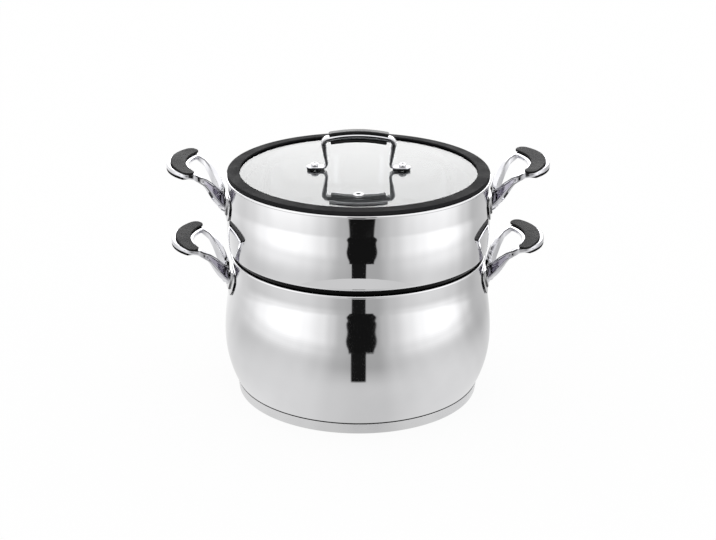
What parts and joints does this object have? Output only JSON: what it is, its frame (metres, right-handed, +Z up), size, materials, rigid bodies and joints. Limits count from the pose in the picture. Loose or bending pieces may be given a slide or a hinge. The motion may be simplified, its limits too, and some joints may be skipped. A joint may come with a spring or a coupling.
{
  "type": "couscous steamer pot",
  "caption": "Stainless belly pot with an encapsulated base, a perforated steamer seated in its rim, cast side handles with silicone grips, and a glass lid with an arched handle.",
  "frame": {"origin": "middle of the underside of the pot's base", "axes": "+Z up along the axis of the vessels, +X along the side handles, from the left pair to the right pair; the lid's vent lies towards -Y"},
  "size_m": [0.3902, 0.2786, 0.2788],
  "materials": {
    "polished_steel": "mirror-polished stainless steel",
    "satin_steel": "satin stainless steel",
    "cast_steel": "polished cast stainless steel",
    "fastener_steel": "bright stainless steel",
    "core_aluminium": "plain aluminium, hidden",
    "silicone": "matt black silicone",
    "lid_glass": "clear tempered glass"
  },
  "bodies": {
    "pot": {"pot_body": "polished_steel", "base_capsule": "satin_steel", "base_core": "core_aluminium", "pot_bracket_left": "satin_steel", "pot_bracket_right": "satin_steel", "pot_handle_left": "cast_steel", "pot_handle_right": "cast_steel", "pot_grip_left": "silicone", "pot_grip_right": "silicone", "pot_handle_screw_left": "fastener_steel", "pot_handle_screw_right": "fastener_steel"},
    "steamer": {"steamer_body": "polished_steel", "steamer_bracket_left": "satin_steel", "steamer_bracket_right": "satin_steel", "steamer_handle_left": "cast_steel", "steamer_handle_right": "cast_steel", "steamer_grip_left": "silicone", "steamer_grip_right": "silicone", "steamer_handle_screw_left": "fastener_steel", "steamer_handle_screw_right": "fastener_steel"},
    "lid": {"lid_glass": "lid_glass", "lid_band": "silicone", "vent_eyelet": "fastener_steel", "lid_handle": "cast_steel", "lid_grip": "silicone", "lid_screw_left": "fastener_steel", "lid_screw_right": "fastener_steel", "lid_washer_left": "silicone", "lid_washer_right": "silicone", "lid_seal_left": "silicone", "lid_seal_right": "silicone", "lid_nut_left": "fastener_steel", "lid_nut_right": "fastener_steel"}
  },
  "joints": [
    {"name": "steamer_lift", "type": "slide", "parent": "pot", "child": "steamer", "axis": [0, 0, 1], "range_m": [0, 0.1]},
    {"name": "lid_lift", "type": "slide", "parent": "steamer", "child": "lid", "axis": [0, 0, 1], "range_m": [0, 0.1]}
  ]
}
